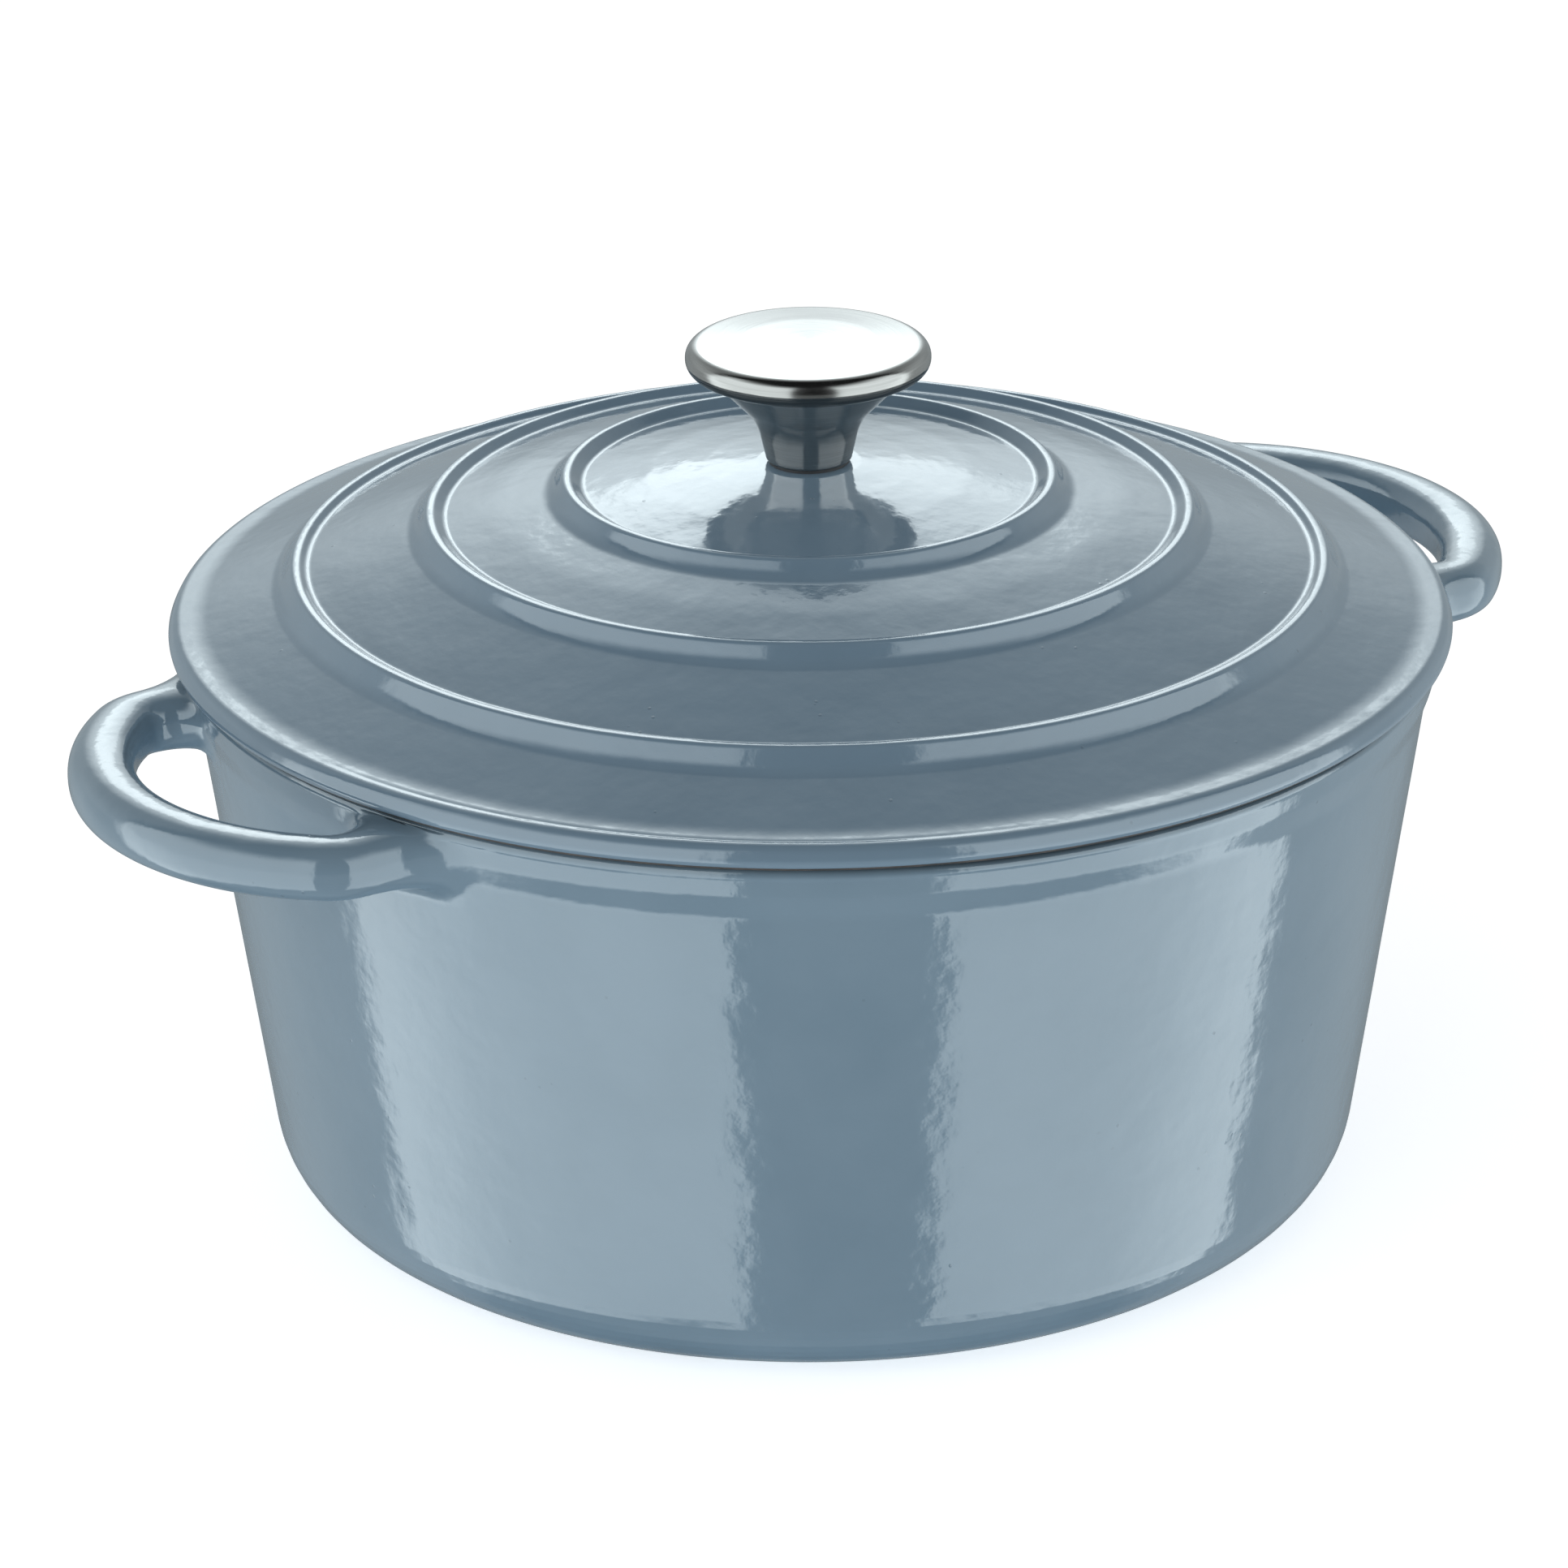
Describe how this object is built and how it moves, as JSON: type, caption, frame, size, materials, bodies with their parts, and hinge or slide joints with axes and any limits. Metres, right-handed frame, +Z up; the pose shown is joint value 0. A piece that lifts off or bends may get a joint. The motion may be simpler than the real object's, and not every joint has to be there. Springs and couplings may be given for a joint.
{
  "type": "dutch oven",
  "caption": "Round enamelled cast iron dutch oven with two cast loop handles and a stepped, lift-off lid with a steel knob.",
  "frame": {"origin": "centre of the base, on the surface the pot stands on", "axes": "+Z up along the pot's axis; +X along the line through the two handles"},
  "size_m": [0.3386, 0.2722, 0.1866],
  "materials": {
    "enamel_pot": "glossy blue-grey vitreous enamel over cast iron, bare dark rim, pale enamel inside",
    "enamel_lid": "glossy blue-grey vitreous enamel over cast iron, bare dark rim, pale enamel inside",
    "knob_steel": "satin brushed stainless steel with circular grain",
    "brass_bush": "turned brass",
    "gasket": "thin heat-proof washer, matt",
    "fastener_steel": "plain stainless fasteners"
  },
  "bodies": {
    "pot": {"pot_body": "enamel_pot"},
    "lid": {"lid": "enamel_lid", "knob_head": "knob_steel", "knob_stem": "knob_steel", "knob_insert": "brass_bush", "knob_gasket": "gasket", "screw_washer": "fastener_steel", "lock_washer": "fastener_steel", "knob_screw": "fastener_steel"}
  },
  "joints": [
    {"name": "lid_lift", "type": "slide", "parent": "pot", "child": "lid", "axis": [0, 0, 1], "range_m": [0, 0.16]}
  ]
}
